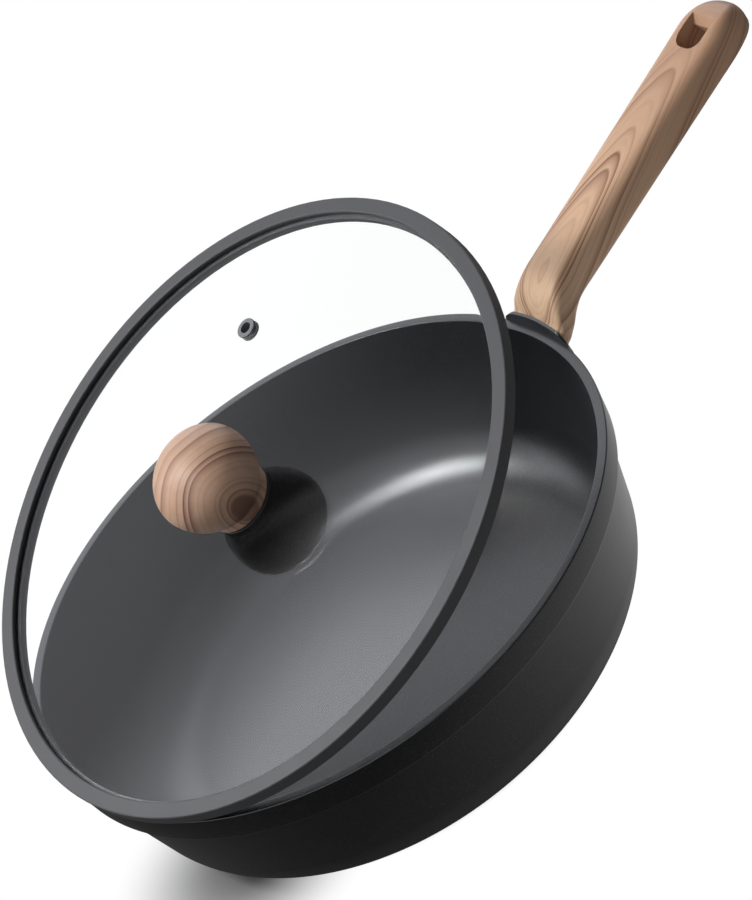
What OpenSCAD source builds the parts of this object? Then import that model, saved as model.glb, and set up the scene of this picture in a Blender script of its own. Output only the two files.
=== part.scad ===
// Deep frying pan with a wood-look handle and a flat glass lid, all sizes in millimetres.
// The origin is the centre of the underside, +X runs to the handle and +Z to the rim.
// The lid lies on the far side of the rim from the handle and is drawn tilted open there.

/* [Pan] */
// Outer radius of the rim
rim_r = 145; // [120:1:165]
// Width of the flat top face of the rim
rim_face = 4.7; // [4:0.1:7]
// Height from the underside to the rim
pan_h = 78; // [65:1:100]
// Thickness of the wall
wall_t = 3; // [2:0.1:4]
// Lean of the wall from the vertical, in degrees
wall_lean = 13.5; // [8:0.5:18]
// Outer radius of the bend between wall and base
bend_r = 33; // [20:1:42]
// Thickness of the base
base_t = 5; // [4:0.1:8]

/* [Rim collar] */
// Height of the thick collar below the rim
collar_h = 15; // [10:0.5:20]
// How much the collar narrows from the rim to its lower edge
collar_taper = 2; // [0.5:0.1:3]
// Rounding of the collar's lower edge
bead_r = 1.6; // [0.8:0.1:2.2]
// Rounding of the two edges of the rim
rim_edge_r = 0.6; // [0.3:0.1:1.2]

/* [Base disc] */
// Radius of the steel disc let into the underside
disc_r = 84; // [60:1:88]
// Thickness of the steel disc
disc_t = 1.2; // [0.6:0.1:2]
// Radius of the holes in the steel disc
disc_hole_r = 3; // [2:0.5:4]
// Rings of holes in the steel disc
disc_rings = 4; // [2:1:5]

/* [Handle lug] */
// Width of the cast lug where it leaves the collar
lug_w = 60; // [54:1:66]
// Width of the tongue inside the handle
tang_w = 19; // [14:1:22]
// Height of the tongue inside the handle
tang_h = 9.6; // [7.6:0.2:9.8]
// Length of the tongue inside the handle
tang_len = 30; // [24:1:36]

/* [Handle grip] */
// Gap from the rim to the grip's near face, which is curved round the rim
grip_gap = 1.2; // [1:0.1:2]
// Length of the grip along X
grip_len = 163.6; // [150:0.2:190]
// Width of the grip near its end
grip_w = 30; // [28:0.5:36]
// Height of the grip near its end
grip_h = 20.4; // [18:0.2:25]
// Rise of the straight part of the grip, in degrees
grip_rise = 14.7; // [6:0.1:20]
// Height above the rim at which the grip's straight axis starts
grip_lift = 8.1; // [7.5:0.1:9]
// How far the near end drops below that axis
grip_drop = 8.5; // [6.5:0.5:9]
// Rounding of the grip's long edges
grip_edge_r = 7; // [5:0.5:8]
// Length over which the tip is rounded
tip_len = 23.4; // [16:0.2:28]
// How far the tip's end drops below the axis
tip_drop = 10.5; // [0:0.5:11]

/* [Hanging slot] */
// Width of the slot
slot_w = 17; // [12:0.5:19]
// Length of the slot, up to its ramp
slot_len = 13.5; // [11:0.5:15]
// Length of the ramp at the slot's far side
ramp_len = 5.5; // [3:0.5:6]
// Depth of that ramp
ramp_depth = 5; // [2:0.5:8]
// Distance from the grip's tip to the ramp's upper edge
slot_margin = 11.5; // [10:0.5:16]
// Radius of the slot's corners on the pan side
slot_corner_r = 6.5; // [3:0.5:8]

/* [Handle screw] */
// Radius of the screw's shank
screw_r = 2.5; // [2:0.25:3]
// Radius of the screw's head
head_r = 4.3; // [4:0.1:4.6]
// Height of the screw's head
head_h = 3; // [2:0.25:4]
// Thickness of the grip that the screw clamps
clamp_t = 13; // [10:1:20]
// Thread length inside the tongue
thread_len = 15; // [10:1:18]
// Thickness of the flat washer
washer_t = 1; // [0.6:0.1:1.6]

/* [Lid] */
// How far the lid is tilted open, in degrees
lid_tilt = 17.9; // [0:0.1:85]
// Angle from the pan's axis to the point that the lid turns on, in degrees
lid_turn = 14.5; // [0:0.5:20]
// How far the lid has slid back over the rim, away from the handle
lid_back = 1.4; // [0:0.1:1.4]
// How far the lid has slid sideways on the rim
lid_side = 1.6; // [0:0.1:1.6]
// Thickness of the glass
glass_t = 3.8; // [3:0.1:5]
// Rise of the glass from its edge to its middle
glass_crown = 2; // [0.5:0.1:12]

/* [Lid seal] */
// How much smaller the seal is than the rim, on the radius
seal_inset = 0.5; // [0.4:0.1:1.5]
// Height of the seal's outer wall
seal_h = 6.2; // [6:0.1:8.5]
// Width of the seal's top face
seal_face = 7.4; // [7:0.1:9]
// How deep the seal's skirt reaches into the pan
skirt_h = 3.6; // [2:0.1:5]
// Gap from the skirt to the pan's inner edge
skirt_gap = 2.6; // [2.4:0.1:3]

/* [Knob] */
// Radius of the ball
ball_r = 24; // [20:0.5:28]
// Radius of the ball's foot
foot_r = 16.4; // [13:0.1:17]
// Height of the ball's middle, where it is widest, over the bottom of the foot
ball_rise = 23.2; // [18:0.1:28]
// Height of the ball's flattened top over its middle
ball_top_h = 18.6; // [12:0.1:24]
// Thickness of the seals above and below the glass
knob_seal_t = 0.8; // [0.6:0.1:1.2]
// Radius of the knob screw's shank
knob_screw_r = 2; // [1.5:0.25:2.5]
// Length of the threaded insert in the ball
insert_len = 12; // [8:0.5:16]

/* [Steam vent] */
// Distance from the lid's centre to the vent
vent_dist = 88; // [60:1:110]
// Direction of the vent from the handle side, in degrees
vent_turn = 42; // [0:1:90]
// Outer radius of the grommet
vent_r = 4.8; // [4.2:0.1:6]
// Radius of the hole through the grommet
vent_hole_r = 2.7; // [1.5:0.1:3]
// Thickness of the grommet's flanges
vent_flange_t = 0.9; // [0.8:0.1:2]

/* [Hidden] */
$fn = 96;
fine = 48;
coarse = 32;

// Clearances, and the overrun of every cut
fit_gap = 0.1;
move_gap = 0.3;
cut = 1;

// Colours, one for each finish
coat_colour = "#2b2c2e";
steel_colour = "#b9bbbd";
wood_colour = "#c2a184";
brass_colour = "#b5924c";
silicone_colour = "#6c6e70";
glass_colour = [0.85, 0.9, 0.92, 0.35];

// Points on a circle round c from angle a0 to a1
function arc(c, r, a0, a1, n) =
    [for (i = [0:n]) let (a = a0 + (a1 - a0) * i / n) c + r * [cos(a), sin(a)]];

// The pan's wall is a straight line that leans out, seen in section as radius and height
rim_in_r = rim_r - rim_face;
lean_t = tan(wall_lean);
wall_in_foot = rim_in_r - pan_h * lean_t;
wall_out_foot = wall_in_foot + wall_t / cos(wall_lean);
function wall_in(z) = wall_in_foot + z * lean_t;
function wall_out(z) = wall_out_foot + z * lean_t;

// Centre radius of a bend of radius r that starts at height z on the wall of foot radius f
function bend_centre(f, z, r) =
    (f * cos(wall_lean) - r + (z + r) * sin(wall_lean)) / cos(wall_lean);
bend_in_r = bend_r - wall_t;
bend_out_c = [bend_centre(wall_out_foot, 0, bend_r), bend_r];
bend_in_c = [bend_centre(wall_in_foot, base_t, bend_in_r), base_t + bend_in_r];
collar_z = pan_h - collar_h;
collar_low_r = rim_r - collar_taper;
bend_steps = 12;
edge_steps = 4;

pan_outline = concat(
    [[0, 0]],
    arc(bend_out_c, bend_r, -90, -wall_lean, bend_steps),
    [[wall_out(collar_z), collar_z]],
    arc([collar_low_r - bead_r, collar_z + bead_r], bead_r, -90, 0, edge_steps),
    arc([rim_r - rim_edge_r, pan_h - rim_edge_r], rim_edge_r, 0, 90, edge_steps),
    arc([rim_in_r + rim_edge_r, pan_h - rim_edge_r], rim_edge_r, 90, 180, edge_steps),
    arc(bend_in_c, bend_in_r, -wall_lean, -90, bend_steps),
    [[0, base_t]]
);

// The grip's axis is straight and rises away from the pan, and its near end drops to the lug.
// Its skin starts a little inside the near face, which a cylinder round the pan's axis cuts.
grip_x = rim_r + grip_gap;
face_room = 2.1;
near_x = grip_x - face_room;
axis_z = pan_h + grip_lift;
function axis_height(x) = axis_z + (x - near_x) * tan(grip_rise);

// Shares along the grip, and there the shares of the drop, the width, the height and the rounding
grip_shares = [
    [0.000, 1.00, 1.327, 0.450, 1.00],
    [0.013, 0.98, 1.320, 0.590, 1.00],
    [0.027, 0.78, 1.287, 0.815, 1.00],
    [0.045, 0.58, 1.190, 0.980, 1.00],
    [0.067, 0.39, 1.110, 1.060, 1.00],
    [0.097, 0.15, 1.013, 1.055, 1.00],
    [0.134, 0.01, 0.950, 1.025, 1.00],
    [0.189, 0.00, 0.935, 1.035, 1.00],
    [0.281, 0.00, 0.956, 1.010, 0.95],
    [0.433, 0.00, 0.975, 0.985, 0.89],
    [0.617, 0.00, 0.972, 0.995, 0.83],
    [0.800, 0.00, 0.997, 0.965, 0.74],
    [1.000, 0.00, 1.000, 1.000, 0.69]
];
tip_share = 1 - tip_len / grip_len;
tip_blunt = 0.45;
tip_steps = 9;
grip_corner_steps = 6;
corner_fill_share = 0.98;

// Smooth value of column k of the table at share s, through the table's own rows
function row(i) = grip_shares[max(0, min(i, len(grip_shares) - 1))];
function row_at(s, i = 0) =
    i >= len(grip_shares) - 2 || s < grip_shares[i + 1][0] ? i : row_at(s, i + 1);
function slope(i, k) =
    let (a = row(i - 1), b = row(i + 1)) (b[k] - a[k]) / (b[0] - a[0]);
function grip_at(s, k) =
    let (i = row_at(s), a = row(i), b = row(i + 1), w = b[0] - a[0], u = (s - a[0]) / w)
    let (u2 = u * u, u3 = u * u * u)
    a[k] * (2 * u3 - 3 * u2 + 1) + b[k] * (3 * u2 - 2 * u3)
    + w * slope(i, k) * (u3 - 2 * u2 + u) + w * slope(i + 1, k) * (u3 - u2);

// How much of the full section is left at share s, from 1 to almost 0 at the tip
function tip_left(s) =
    s <= tip_share ? 1 : sqrt(max(0, 1 - pow((s - tip_share) / (1 - tip_share), 2)));
function centre_height(x) =
    let (s = (x - near_x) / grip_len)
    axis_height(x) - grip_drop * grip_at(s, 1) - tip_drop * (1 - tip_left(s));

// One ring of points round the grip: a rounded rectangle in a plane square to X
function grip_ring(s) =
    let (x = near_x + s * grip_len, left = tip_left(s))
    let (w = grip_w * grip_at(s, 2) / 2 * left)
    let (h = grip_h * grip_at(s, 3) / 2 * pow(left, tip_blunt))
    let (r = min(grip_edge_r * grip_at(s, 4), w * corner_fill_share, h * corner_fill_share))
    let (z = centre_height(x))
    [for (q = [0:3], i = [0:grip_corner_steps])
        let (a = q * 90 + 90 * i / grip_corner_steps)
        let (sy = q == 0 || q == 3 ? 1 : -1, sz = q < 2 ? 1 : -1)
        [x, sy * (w - r) + r * cos(a), z + sz * (h - r) + r * sin(a)]];

// Stations along the grip: close together at the near end and round the tip
neck_share = 0.134;
neck_steps = 10;
neck_ease = 1.2;
body_steps = 8;
grip_station_shares = concat(
    [for (i = [0:neck_steps]) neck_share * pow(i / neck_steps, neck_ease)],
    [for (i = [1:body_steps]) neck_share + (tip_share - neck_share) * i / body_steps],
    [for (i = [1:tip_steps]) tip_share + (1 - tip_share) * sin(89 * i / tip_steps)]
);
grip_rings = [for (s = grip_station_shares) grip_ring(s)];
grip_ring_n = 4 * (grip_corner_steps + 1);

// Closed skin over a stack of rings that all have n points
module skin(rings, n) {
    m = len(rings);
    points = [for (ring = rings) each ring];
    sides = [for (j = [0:m - 2], i = [0:n - 1])
        let (a = j * n + i, b = j * n + (i + 1) % n)
        each [[a, a + n, b], [b, a + n, b + n]]];
    near_cap = [for (i = [0:n - 1]) i];
    far_cap = [for (i = [n - 1:-1:0]) (m - 1) * n + i];
    polyhedron(points, concat(sides, [near_cap, far_cap]), convexity = 6);
}

// A bar that follows the grip's centre from x0 to x1, with flat sides
bar_steps = 8;
module centre_bar(x0, x1, w, h) {
    xs = [for (i = [0:bar_steps]) x0 + (x1 - x0) * i / bar_steps];
    upper = [for (x = xs) [x, centre_height(max(x, near_x)) + h / 2]];
    lower = [for (i = [bar_steps:-1:0]) [xs[i], centre_height(max(xs[i], near_x)) - h / 2]];
    rotate([90, 0, 0]) translate([0, 0, -w / 2]) linear_extrude(w) polygon(concat(upper, lower));
}

// Places children on the grip's straight axis at x, with their Z along the axis
module on_axis(x) {
    translate([x, 0, axis_height(x)]) rotate([0, 90 - grip_rise, 0]) children();
}

module ring_bar(r_out, r_in, h) {
    difference() {
        cylinder(h = h, r = r_out);
        translate([0, 0, -cut]) cylinder(h = h + 2 * cut, r = r_in);
    }
}

// The screw stands in the tongue's end: its seat is a counterbore in the grip
tang_x = grip_x + tang_len;
seat_x = tang_x + (fit_gap + clamp_t) * cos(grip_rise);
lock_t = washer_t;
head_gap = 0.6;

// The lug: a block with the grip's near section on its outside, which widens into the collar.
// Its faces to the rim and to the grip are cylinders round the pan's axis.
lug_slab = 1;
lug_root_x = rim_in_r - 2 * lug_slab;
lug_root_r = 3;
lug_in_r = rim_in_r + wall_t / 2;
lug_out_r = grip_x - fit_gap;
lug_low_z = collar_z + bead_r;
joint_share = face_room / grip_len;
module lug_section(w, low, high, r) {
    rotate([90, 0, 90]) linear_extrude(lug_slab) hull()
        for (sy = [-1, 1], z = [low + r, high - r])
            translate([sy * (w / 2 - r), z]) circle(r, $fn = fine);
}
module lug() {
    near_w = grip_w * grip_at(joint_share, 2);
    near_h = grip_h * grip_at(joint_share, 3);
    near_r = min(grip_edge_r, near_h / 2 * corner_fill_share);
    near_z = centre_height(grip_x);
    difference() {
        intersection() {
            hull() {
                translate([lug_root_x, 0, 0]) lug_section(lug_w, lug_low_z, pan_h, lug_root_r);
                translate([grip_x, 0, 0])
                    lug_section(near_w, near_z - near_h / 2, near_z + near_h / 2, near_r);
            }
            cylinder(h = pan_h + grip_h, r = lug_out_r, $fn = 2 * $fn);
        }
        cylinder(h = pan_h + cut, r = lug_in_r);
        translate([0, 0, pan_h]) cylinder(h = grip_h, r = rim_r + fit_gap, $fn = 2 * $fn);
    }
}

module pan_body() {
    color(coat_colour) difference() {
        union() {
            difference() {
                rotate_extrude() polygon(pan_outline);
                translate([0, 0, -cut]) cylinder(h = disc_t + cut, r = disc_r + fit_gap);
            }
            lug();
            centre_bar(lug_out_r - lug_slab, tang_x, tang_w, tang_h);
        }
        on_axis(tang_x) translate([0, 0, -thread_len])
            cylinder(h = thread_len + cut, r = screw_r + fit_gap / 2);
    }
}

// The rings of holes have this many holes more, one ring after the other
first_ring = 6;
module base_disc() {
    pitch = disc_r / (disc_rings + 1);
    color(steel_colour) difference() {
        cylinder(h = disc_t, r = disc_r);
        for (k = [1:disc_rings], i = [0:first_ring * k - 1])
            rotate([0, 0, (i + (k % 2) / 2) * 360 / (first_ring * k)])
                translate([k * pitch, 0, -cut])
                cylinder(h = disc_t + 2 * cut, r = disc_hole_r, $fn = coarse);
    }
}

// The slot is cut square to the grip's axis and has its ramp at the far side
ramp_at_share = 0.9;
slot_far_x = near_x + grip_len - slot_margin;
slot_x = slot_far_x - ramp_len - slot_len;
module slot_outline() {
    translate([slot_corner_r, 0]) for (s = [-1, 1])
        translate([0, s * (slot_w / 2 - slot_corner_r)]) circle(slot_corner_r, $fn = fine);
    translate([0, slot_corner_r - slot_w / 2]) square([slot_corner_r, slot_w - 2 * slot_corner_r]);
    translate([slot_corner_r, -slot_w / 2]) square([slot_len - slot_corner_r, slot_w]);
}
module slot_cut() {
    top = grip_h * grip_at(ramp_at_share, 3) / 2;
    ramp = [[-cut, top + cut], [ramp_len * (1 + cut / ramp_depth), top + cut],
        [0, top - ramp_depth], [-cut, top - ramp_depth]];
    translate([slot_x, 0, axis_height(slot_x)]) rotate([0, -grip_rise, 0]) {
        translate([0, 0, -grip_h]) linear_extrude(2 * grip_h) slot_outline();
        translate([slot_len, slot_w / 2, 0]) rotate([90, 0, 0]) linear_extrude(slot_w)
            polygon(ramp);
    }
}

module handle_grip() {
    color(wood_colour) difference() {
        skin(grip_rings, grip_ring_n);
        cylinder(h = pan_h + grip_h, r = grip_x, $fn = 2 * $fn);
        centre_bar(near_x - cut, tang_x + fit_gap, tang_w + 2 * fit_gap, tang_h + 2 * fit_gap);
        on_axis(tang_x) translate([0, 0, -cut])
            cylinder(h = clamp_t + 2 * cut, r = screw_r + 2 * fit_gap);
        on_axis(seat_x)
            cylinder(h = slot_x - seat_x + slot_len / 2, r = head_r + head_gap);
        slot_cut();
    }
}

module handle_washer() {
    color(steel_colour) on_axis(seat_x) ring_bar(head_r + head_gap / 2, screw_r + fit_gap, washer_t);
}

// A split ring, cut open over a small angle
module split_ring(r_out, r_in, h) {
    gap_angle = 14;
    rotate_extrude(angle = 360 - gap_angle)
        translate([r_in, 0]) square([r_out - r_in, h]);
}

module handle_lock_washer() {
    color(steel_colour) on_axis(seat_x) translate([0, 0, washer_t])
        split_ring(head_r, screw_r + fit_gap, lock_t);
}

// A pan head screw that points down, with a cross recess in its head
dome_share = 0.7;
recess_w_share = 0.3;
recess_l_share = 1.15;
recess_d_share = 0.6;
module pan_screw(shank_r, shank_len, r, h) {
    recess_w = r * recess_w_share;
    recess_l = r * recess_l_share;
    recess_d = h * recess_d_share;
    dome = h * dome_share;
    difference() {
        union() {
            rotate_extrude() polygon(concat([[0, 0], [r, 0]],
                arc([r - dome, h - dome], dome, 0, 90, edge_steps), [[0, h]]));
            translate([0, 0, -shank_len]) cylinder(h = shank_len + h - dome, r = shank_r);
        }
        for (a = [0, 90]) rotate([0, 0, a])
            translate([-recess_l / 2, -recess_w / 2, h - recess_d])
                cube([recess_l, recess_w, recess_d + cut]);
    }
}

module handle_screw() {
    rise = washer_t + lock_t;
    color(steel_colour) on_axis(seat_x) translate([0, 0, rise])
        pan_screw(screw_r, rise + clamp_t + fit_gap + thread_len - 2 * head_gap, head_r, head_h);
}

// The lid's own frame: its axis is Z, and z = 0 is the underside of the seal's flange
seal_r = rim_r - seal_inset;
glass_low = 0.8;
glass_top = glass_low + glass_t;
groove_depth = 4.4;
seal_in_r = seal_r - seal_face;
glass_r = seal_in_r + groove_depth;
skirt_r = rim_in_r - skirt_gap;
seal_round = 0.8;
seal_rise = 0.3;
knob_pad_margin = 2;
knob_pad_r = foot_r + knob_pad_margin;

// The lid turns on the outer lower edge of its seal, on the rim's far side from the handle
module lid_place() {
    rotate([0, 0, lid_turn]) translate([-seal_r - lid_back, -lid_side, pan_h + move_gap])
        rotate([0, -lid_tilt, 0]) translate([seal_r, 0, 0]) rotate([0, 0, -lid_turn]) children();
}

// Rise of the glass over its edge at radius r: flat in the seal and flat under the knob
function crown(r) =
    let (u = (min(max(r, knob_pad_r), seal_in_r) - knob_pad_r) / (seal_in_r - knob_pad_r))
    glass_crown * (1 - u * u);
crown_steps = 10;
glass_edge_r = 1.2;
crown_radii = [for (i = [0:crown_steps])
    knob_pad_r + (seal_in_r - knob_pad_r) * i / crown_steps];
middle_top = glass_top + glass_crown;
middle_low = glass_low + glass_crown;

// Slope of the glass at the vent, in degrees
vent_step = 0.5;
vent_slope = atan((crown(vent_dist - vent_step) - crown(vent_dist + vent_step)) / (2 * vent_step));
vent_neck_share = 0.7;
vent_neck_r = vent_r * vent_neck_share;
module at_vent() {
    rotate([0, 0, vent_turn]) translate([vent_dist, 0, glass_low + crown(vent_dist) + glass_t / 2])
        rotate([0, vent_slope, 0]) children();
}

knob_sleeve_room = 1.6;
knob_hole_r = knob_screw_r + knob_sleeve_room;
module lid_glass() {
    outline = concat(
        [[0, middle_low]],
        [for (r = crown_radii) [r, glass_low + crown(r)]],
        arc([glass_r - glass_edge_r, glass_low + glass_edge_r], glass_edge_r, -90, 0, edge_steps),
        arc([glass_r - glass_edge_r, glass_top - glass_edge_r], glass_edge_r, 0, 90, edge_steps),
        [for (i = [crown_steps:-1:0]) [crown_radii[i], glass_top + crown(crown_radii[i])]],
        [[0, middle_top]]
    );
    color(glass_colour) lid_place() difference() {
        rotate_extrude() polygon(outline);
        translate([0, 0, middle_low - cut]) cylinder(h = glass_t + 2 * cut, r = knob_hole_r);
        at_vent() translate([0, 0, -glass_t]) cylinder(h = 2 * glass_t, r = vent_neck_r + fit_gap);
    }
}

module lid_rim_seal() {
    skirt_round = 1.2;
    skirt_lip = 1.4;
    skirt_in_r = seal_in_r - skirt_lip;
    outline = concat(
        [[seal_r, 0]],
        arc([seal_r - seal_round, seal_h - seal_round], seal_round, 0, 90, edge_steps),
        arc([seal_in_r + seal_round, seal_h + seal_rise - seal_round], seal_round, 90, 180,
            edge_steps),
        [[seal_in_r, glass_top + fit_gap], [glass_r + fit_gap, glass_top + fit_gap],
            [glass_r + fit_gap, glass_low - fit_gap], [skirt_in_r, glass_low - fit_gap]],
        arc([skirt_in_r + skirt_round, skirt_round - skirt_h], skirt_round, 180, 270, edge_steps),
        arc([skirt_r - skirt_round, skirt_round - skirt_h], skirt_round, 270, 360, edge_steps),
        [[skirt_r, 0]]
    );
    color(silicone_colour) lid_place() rotate_extrude() polygon(outline);
}

vent_round_share = 0.35;
module vent_grommet() {
    half = glass_t / 2 + fit_gap;
    flange_round = vent_flange_t * vent_round_share;
    full = half + vent_flange_t;
    outline = concat(
        [[vent_hole_r, -full]],
        arc([vent_r - flange_round, flange_round - full], flange_round, -90, 0, edge_steps),
        [[vent_r, -half], [vent_neck_r, -half], [vent_neck_r, half], [vent_r, half]],
        arc([vent_r - flange_round, full - flange_round], flange_round, 0, 90, edge_steps),
        [[vent_hole_r, full]]
    );
    color(silicone_colour) lid_place() at_vent() rotate_extrude($fn = fine) polygon(outline);
}

// The ball stands on the upper seal, and the insert is moulded into its foot
ball_z = middle_top + knob_seal_t;
foot_h = 4.6;
ball_steps = 24;
foot_round = 2;
foot_round_end = 30;
insert_wall = 2;
insert_r = knob_screw_r + insert_wall;
insert_depth = 1;
thread_share = 0.7;
screw_depth = insert_depth + insert_len * thread_share;
module knob_ball() {
    join_a = -asin((ball_rise - foot_h) / ball_r);
    outline = concat(
        [[0, 0], [foot_r - foot_round, 0]],
        arc([foot_r - foot_round, foot_round], foot_round, -90, foot_round_end, edge_steps),
        arc([0, ball_rise], ball_r, join_a, 0, ball_steps),
        [for (i = [1:ball_steps]) let (a = 90 * i / ball_steps)
            [i < ball_steps ? ball_r * cos(a) : 0, ball_rise + ball_top_h * sin(a)]]
    );
    color(wood_colour) lid_place() translate([0, 0, ball_z]) difference() {
        rotate_extrude() polygon(outline);
        translate([0, 0, -cut])
            cylinder(h = cut + insert_depth + insert_len + fit_gap, r = insert_r + fit_gap);
    }
}

module knob_insert() {
    color(brass_colour) lid_place() translate([0, 0, ball_z + insert_depth])
        ring_bar(insert_r, knob_screw_r + fit_gap / 2, insert_len);
}

seal_step = 1;
seal_wide_r = foot_r - seal_step / 2;
knob_washer_r = 9;
sleeve_wall = 0.8;
module knob_seal_top() {
    sleeve_r = knob_hole_r - fit_gap;
    color(silicone_colour) lid_place() difference() {
        translate([0, 0, middle_top]) union() {
            cylinder(h = knob_seal_t, r = seal_wide_r);
            translate([0, 0, -glass_t / 2]) cylinder(h = glass_t / 2 + fit_gap, r = sleeve_r);
        }
        translate([0, 0, middle_low]) cylinder(h = glass_t + 2 * cut, r = sleeve_r - sleeve_wall);
    }
}

module knob_seal_bottom() {
    color(silicone_colour) lid_place() translate([0, 0, middle_low - knob_seal_t])
        ring_bar(knob_washer_r + seal_step, knob_hole_r - fit_gap - sleeve_wall, knob_seal_t);
}

knob_head_r = 4.2;
knob_head_h = 2.6;
module knob_washer() {
    color(steel_colour) lid_place() translate([0, 0, middle_low - knob_seal_t - washer_t])
        ring_bar(knob_washer_r, knob_screw_r + fit_gap, washer_t);
}

module knob_lock_washer() {
    color(steel_colour) lid_place() translate([0, 0, middle_low - knob_seal_t - 2 * washer_t])
        split_ring(knob_head_r, knob_screw_r + fit_gap, washer_t);
}

module knob_screw() {
    below = knob_seal_t + 2 * washer_t;
    above = glass_t + knob_seal_t + screw_depth;
    color(steel_colour) lid_place() translate([0, 0, middle_low - below]) rotate([180, 0, 0])
        pan_screw(knob_screw_r, below + above, knob_head_r, knob_head_h);
}

pan_body();
base_disc();
handle_grip();
handle_washer();
handle_lock_washer();
handle_screw();
lid_glass();
lid_rim_seal();
vent_grommet();
knob_ball();
knob_insert();
knob_seal_top();
knob_seal_bottom();
knob_washer();
knob_lock_washer();
knob_screw();
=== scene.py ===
"""A deep frying pan with a wood-look grip and a flat glass lid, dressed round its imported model."""

import math

import bmesh
import bpy
from mathutils import Matrix, Vector


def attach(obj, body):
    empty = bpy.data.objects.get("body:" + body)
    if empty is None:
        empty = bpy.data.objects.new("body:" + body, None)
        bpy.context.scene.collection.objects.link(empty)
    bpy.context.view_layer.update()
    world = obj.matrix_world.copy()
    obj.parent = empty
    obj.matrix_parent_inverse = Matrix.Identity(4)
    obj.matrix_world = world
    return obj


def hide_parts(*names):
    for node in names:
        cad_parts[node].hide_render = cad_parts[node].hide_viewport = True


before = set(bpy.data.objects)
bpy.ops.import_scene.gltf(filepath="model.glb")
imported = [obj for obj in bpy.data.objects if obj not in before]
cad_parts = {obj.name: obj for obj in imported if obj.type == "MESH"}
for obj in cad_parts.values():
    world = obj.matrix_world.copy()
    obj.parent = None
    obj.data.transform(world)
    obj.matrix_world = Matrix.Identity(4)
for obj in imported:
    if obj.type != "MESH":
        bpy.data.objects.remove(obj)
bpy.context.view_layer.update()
mm = 0.001


# The bowl, its thick rim collar and the handle's lug are one aluminium casting. It carries a
# dark grey non-stick coating, sprayed and baked on, with fine metal flecks in it.


def node(tree, kind, inputs=(), **settings):
    """Adds a shader node. Each input is a plain value, or the socket that feeds it."""
    made = tree.nodes.new("ShaderNode" + kind)
    for name, value in settings.items():
        setattr(made, name, value)
    for name, value in dict(inputs).items():
        if isinstance(value, bpy.types.NodeSocket):
            tree.links.new(value, made.inputs[name])
        else:
            made.inputs[name].default_value = value
    return made


def calc(tree, operation, *values):
    """The result of one Math node."""
    return node(tree, "Math", enumerate(values), operation=operation).outputs[0]


def blend_colours(tree, share, first, second, kind="MIX"):
    """A Mix node for colours, from first at share 0 to second at share 1."""
    made = node(tree, "Mix", data_type="RGBA", blend_type=kind)
    for place, value in ((0, share), (6, first), (7, second)):
        if isinstance(value, bpy.types.NodeSocket):
            tree.links.new(value, made.inputs[place])
        elif place == 0:
            made.inputs[place].default_value = value
        else:
            made.inputs[place].default_value = (*value, 1)
    return made.outputs[2]


def bump(tree, height, strength, distance):
    """The normal of a Bump node."""
    values = {"Height": height, "Strength": strength, "Distance": distance}
    return node(tree, "Bump", values).outputs["Normal"]


def new_group(name, inputs, outputs):
    """A shader node group: its tree, its inputs and its output node."""
    tree = bpy.data.node_groups.new(name, "ShaderNodeTree")
    for label, kind, default in inputs:
        socket = tree.interface.new_socket(
            label, in_out="INPUT", socket_type="NodeSocket" + kind
        )
        socket.default_value = default
    for label, kind in outputs:
        tree.interface.new_socket(
            label, in_out="OUTPUT", socket_type="NodeSocket" + kind
        )
    return (
        tree,
        tree.nodes.new("NodeGroupInput").outputs,
        tree.nodes.new("NodeGroupOutput"),
    )


def place_group(tree, group, values=()):
    """One copy of a node group in a material, with its own values."""
    made = tree.nodes.new("ShaderNodeGroup")
    made.node_tree = group
    for name, value in dict(values).items():
        made.inputs[name].default_value = value
    return made.outputs


def new_material(name, **values):
    """A material with one Principled shader: its node tree and that shader."""
    made = bpy.data.materials.new(name)
    made.use_nodes = True
    tree = made.node_tree
    tree.nodes.clear()
    shader = node(tree, "BsdfPrincipled")
    output = node(tree, "OutputMaterial", {"Surface": shader.outputs[0]})
    output.is_active_output = True
    for label, value in values.items():
        shader.inputs[label.replace("_", " ")].default_value = value
    return made, tree, shader


def connect(tree, shader, finish):
    """Feeds the shader from a finish: its roughness and normal, and its colour if it has one."""
    for socket in finish:
        label = "Base Color" if socket.name == "Color" else socket.name
        tree.links.new(socket, shader.inputs[label])


def new_piece(name, mesh_maker, material=None, body=None, sharp=35):
    """A mesh object, smooth but for its sharp edges. A cutter has no material, body or slot."""
    mesh = bpy.data.meshes.new(name)
    work = bmesh.new()
    mesh_maker(work)
    bmesh.ops.recalc_face_normals(work, faces=work.faces)
    work.to_mesh(mesh)
    work.free()
    piece = bpy.data.objects.new(name, mesh)
    bpy.context.scene.collection.objects.link(piece)
    mesh.shade_smooth()
    mesh.set_sharp_from_angle(angle=math.radians(sharp))
    if material:
        mesh.materials.append(material)
    if body:
        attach(piece, body)
    return piece


def arc(middle, r, start, end, steps):
    """Points on a circle in a section of radius and height, from start to end in degrees."""
    angles = [math.radians(start + (end - start) * i / steps) for i in range(steps + 1)]
    return [(middle[0] + r * math.cos(a), middle[1] + r * math.sin(a)) for a in angles]


def turned_solid(work, outline, segments=360):
    """Turns a closed outline of radius and height round Z. Points on the axis are shared."""
    columns = []
    for r, z in outline:
        if r > 0:
            turns = [math.tau * i / segments for i in range(segments)]
            columns.append(
                [work.verts.new((r * math.cos(a), r * math.sin(a), z)) for a in turns]
            )
        else:
            columns.append([work.verts.new((0, 0, z))] * segments)
    for near, far in zip(columns, columns[1:] + columns[:1]):
        for i in range(segments):
            j = (i + 1) % segments
            corners = []
            for corner in (near[i], near[j], far[j], far[i]):
                if corner not in corners:
                    corners.append(corner)
            if len(corners) > 2:
                work.faces.new(corners)


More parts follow.
